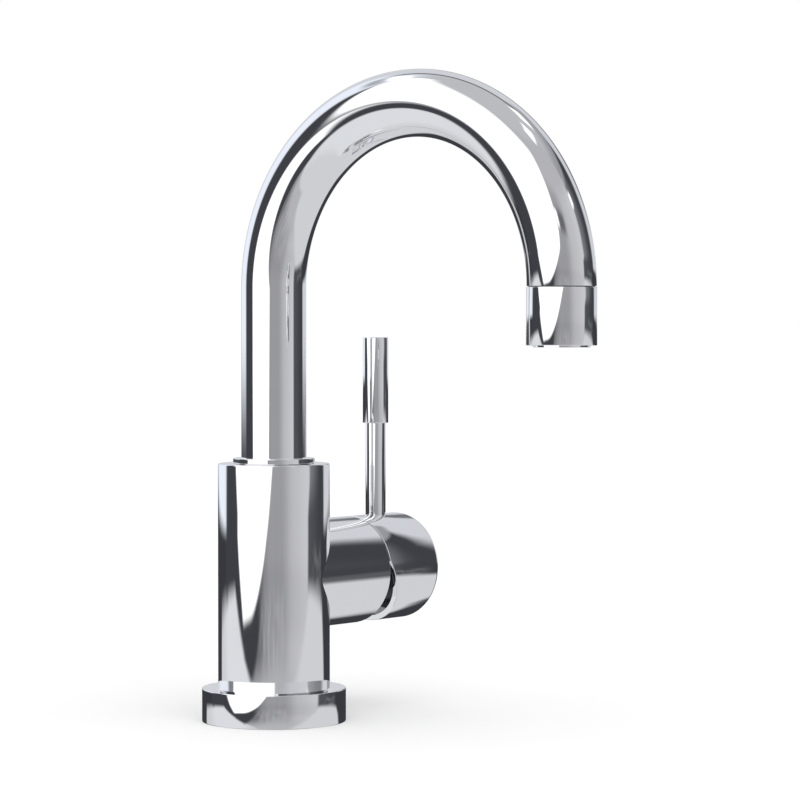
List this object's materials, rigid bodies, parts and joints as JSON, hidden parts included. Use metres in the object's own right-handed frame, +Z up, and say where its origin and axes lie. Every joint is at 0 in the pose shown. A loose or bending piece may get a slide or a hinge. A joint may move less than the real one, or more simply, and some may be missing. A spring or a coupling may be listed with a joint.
{
  "type": "single-hole lavatory faucet",
  "caption": "Single-hole lavatory faucet with an arched swivel spout, an upright barrel body and a side hub whose slim lever lifts for flow and turns for temperature.",
  "frame": {"origin": "centre of the base on the deck, at the underside of the base flange", "axes": "+Z up along the body and the spout's swivel axis; the spout points along -Y at rest; the hub and its lever point along +X"},
  "size_m": [0.1071, 0.1793, 0.3147],
  "materials": {
    "chrome": "polished chrome plate",
    "brass": "turned brass",
    "rubber": "moulded black rubber",
    "steel": "stainless steel",
    "black_plastic": "glass-filled nylon",
    "grey_plastic": "moulded, light grey",
    "ivory_plastic": "moulded, ivory",
    "acetal": "acetal, natural white",
    "ceramic": "lapped ceramic"
  },
  "bodies": {
    "root": {"body": "chrome", "base_flange": "chrome", "base_gasket": "rubber", "mounting_shank": "brass", "rubber_washer": "rubber", "clamp_washer": "steel", "mounting_nut": "black_plastic", "jack_screws": "steel", "thrust_washer": "acetal", "spout_keeper_screw": "steel", "cartridge_base": "ivory_plastic", "cartridge_seals": "rubber", "cartridge_housing": "ivory_plastic", "fixed_disc": "ceramic", "retaining_nut": "brass", "bonnet": "chrome"},
    "spout": {"spout_tube": "chrome", "spout_collar": "chrome", "spout_nipple": "brass", "spout_o_rings": "rubber", "outlet_bushing": "brass", "aerator_housing": "chrome", "aerator_washer": "rubber", "aerator_insert": "grey_plastic"},
    "rotor": {"cartridge_rotor": "acetal", "pivot_pin": "steel"},
    "disc": {"moving_disc": "ceramic", "disc_carrier": "acetal"},
    "handle": {"cartridge_stem": "steel", "handle_cap": "chrome", "handle_set_screw": "steel", "screw_plug": "chrome", "lever_rod": "chrome", "lever_grip": "chrome"}
  },
  "joints": [
    {"name": "spout_swivel", "type": "hinge", "parent": "root", "child": "spout", "pos_m": [0, 0, 0.0885], "axis": [0, 0, 1], "continuous": true},
    {"name": "temperature_turn", "type": "hinge", "parent": "root", "child": "rotor", "pos_m": [0.034, 0, 0.0563], "axis": [1, 0, 0], "range_deg": [-45, 45]},
    {"name": "flow_lift", "type": "hinge", "parent": "rotor", "child": "handle", "pos_m": [0.034, 0, 0.0563], "axis": [0, 1, 0], "range_deg": [0, 22]},
    {"name": "disc_slide", "type": "slide", "parent": "rotor", "child": "disc", "axis": [0, 0, 1], "range_m": [0, 0.00363]}
  ],
  "couplings": [
    {"joint": "disc_slide", "follows": "flow_lift", "m_per_rad": 0.009442}
  ]
}
